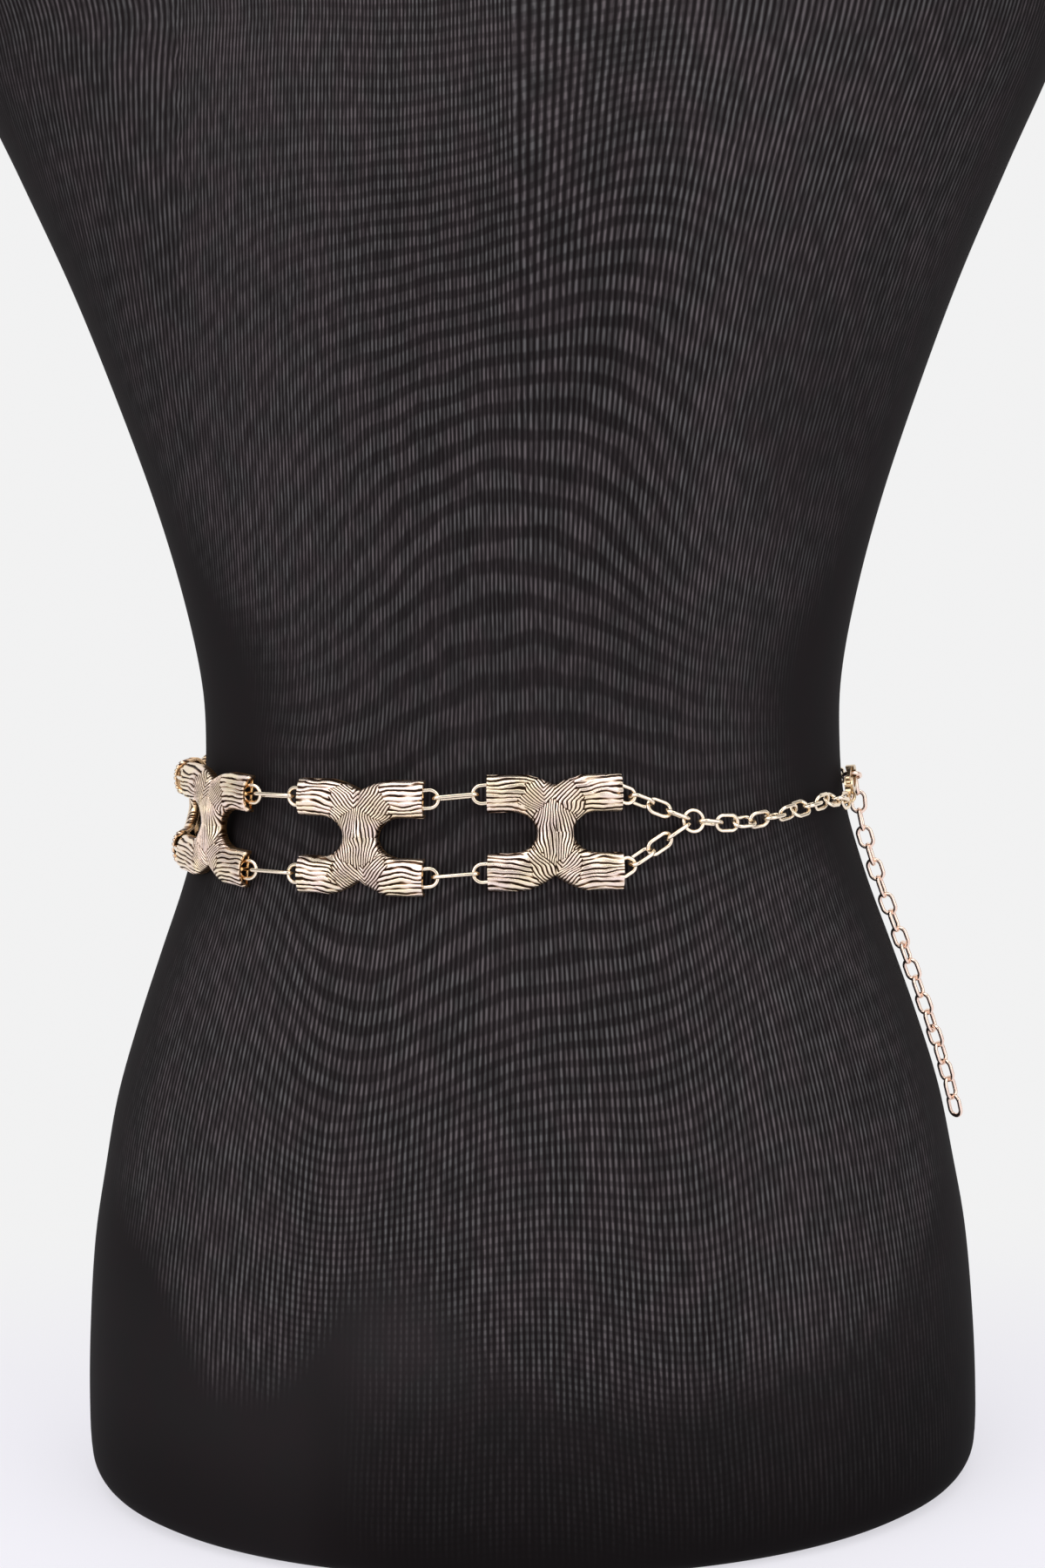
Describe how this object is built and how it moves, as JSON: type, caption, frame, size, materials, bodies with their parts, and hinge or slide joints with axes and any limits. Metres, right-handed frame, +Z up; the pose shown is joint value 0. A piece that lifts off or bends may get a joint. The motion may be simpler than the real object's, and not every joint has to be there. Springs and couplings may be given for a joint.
{
  "type": "chain belt on dress form",
  "caption": "Waist belt of large hollow cast links and fine oval chain, closed by a lobster clasp, worn on a limbless dress form that stands on a flat base.",
  "frame": {"origin": "middle of the form's flat base, on the floor", "axes": "+Z up, -Y to the form's front, +X to the side with the clasp"},
  "size_m": [0.42, 0.2355, 0.735],
  "materials": {
    "gold": "polished champagne gold plating, grooves darkened",
    "rose_gold": "polished, pinkish gold plating",
    "clasp_gold": "polished, darker gold plating",
    "knit": "matt black, fine rib knit"
  },
  "bodies": {
    "belt_and_form": {"back_chain_0": "gold", "back_chain_1": "gold", "back_chain_2": "gold", "back_chain_3": "gold", "back_ring": "gold", "back_v_lower": "gold", "back_v_upper": "gold", "clasp_body": "clasp_gold", "clasp_ring": "clasp_gold", "form": "knit", "front_chain_0": "gold", "front_chain_1": "gold", "front_chain_10": "gold", "front_chain_11": "gold", "front_chain_2": "gold", "front_chain_3": "gold", "front_chain_4": "gold", "front_chain_5": "gold", "front_chain_6": "gold", "front_chain_7": "gold", "front_chain_8": "gold", "front_chain_9": "gold", "held_link": "rose_gold", "joining_ring": "gold", "link_0_lower_a": "gold", "link_0_lower_b": "gold", "link_0_lower_c": "gold", "link_0_upper_a": "gold", "link_0_upper_b": "gold", "link_0_upper_c": "gold", "link_1_lower_a": "gold", "link_1_lower_b": "gold", "link_1_lower_c": "gold", "link_1_upper_a": "gold", "link_1_upper_b": "gold", "link_1_upper_c": "gold", "link_2_lower_a": "gold", "link_2_lower_b": "gold", "link_2_lower_c": "gold", "link_2_upper_a": "gold", "link_2_upper_b": "gold", "link_2_upper_c": "gold", "motif_0": "gold", "motif_1": "gold", "motif_2": "gold", "motif_3": "gold", "tail_0": "rose_gold", "tail_1": "rose_gold", "tail_2": "rose_gold", "tail_3": "rose_gold", "v_lower_0": "gold", "v_lower_1": "gold", "v_lower_2": "gold", "v_lower_3": "gold", "v_upper_0": "gold", "v_upper_1": "gold", "v_upper_2": "gold", "v_upper_3": "gold"},
    "clasp_lever": {"clasp_lever": "clasp_gold"}
  },
  "joints": [
    {"name": "clasp_lever_hinge", "type": "hinge", "parent": "belt_and_form", "child": "clasp_lever", "pos_m": [0.11616, -0.02669, 0.24374], "axis": [-0.9522, 0.2918, -0.0905], "range_deg": [0, 20], "stiffness_Nm_per_rad": 0.006, "springref_deg": -8.59}
  ]
}
